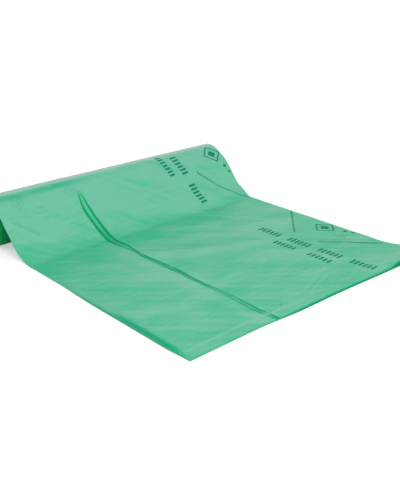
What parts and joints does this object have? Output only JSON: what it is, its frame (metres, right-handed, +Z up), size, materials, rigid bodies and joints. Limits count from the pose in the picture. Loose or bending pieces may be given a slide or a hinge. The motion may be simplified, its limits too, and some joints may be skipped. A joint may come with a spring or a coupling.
{
  "type": "bin bag roll",
  "caption": "Coreless roll of gusseted plastic bin bags, with the first bag pulled out flat over the table in front of it.",
  "frame": {"origin": "On the table, under the middle of the whole part's box", "axes": "+X along the roll's axis, from the side with the gusset line to the other; +Y from the pulled-out bag's front edge to the roll; +Z up"},
  "size_m": [0.575, 0.6266, 0.0983],
  "materials": {
    "film": "thin translucent green film, softly glossy"
  },
  "bodies": {
    "root": {"bag_roll": "film"}
  },
  "joints": []
}
